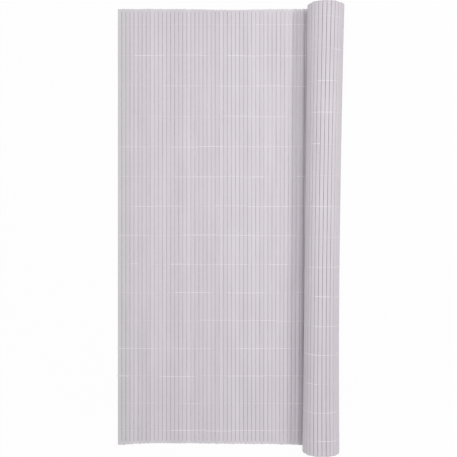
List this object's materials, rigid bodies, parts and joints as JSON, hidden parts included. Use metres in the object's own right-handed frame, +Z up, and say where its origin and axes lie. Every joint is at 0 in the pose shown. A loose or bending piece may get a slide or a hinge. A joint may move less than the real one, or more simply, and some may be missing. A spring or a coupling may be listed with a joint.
{
  "type": "pvc reed screening",
  "caption": "Pale grey double-faced PVC slat screening, stitched with rows of white thread, lying partly unrolled with the rest wound in a roll along one side.",
  "frame": {"origin": "centre of the bounding box on the floor", "axes": "+Y along the slats, +X from the free edge to the roll, +Z up from the floor"},
  "size_m": [0.7743, 1.5013, 0.1277],
  "materials": {
    "slat_pvc": "satin pale grey PVC",
    "seam_thread": "white polyester thread"
  },
  "bodies": {
    "root": {"unrolled_slats": "slat_pvc", "rolled_slats": "slat_pvc", "seam_thread_01": "seam_thread", "seam_thread_02": "seam_thread", "seam_thread_03": "seam_thread", "seam_thread_04": "seam_thread", "seam_thread_05": "seam_thread", "seam_thread_06": "seam_thread", "seam_thread_07": "seam_thread", "seam_thread_08": "seam_thread", "seam_thread_09": "seam_thread", "seam_thread_10": "seam_thread", "seam_thread_11": "seam_thread", "seam_thread_12": "seam_thread", "seam_thread_13": "seam_thread", "seam_thread_14": "seam_thread", "seam_thread_15": "seam_thread"}
  },
  "joints": []
}
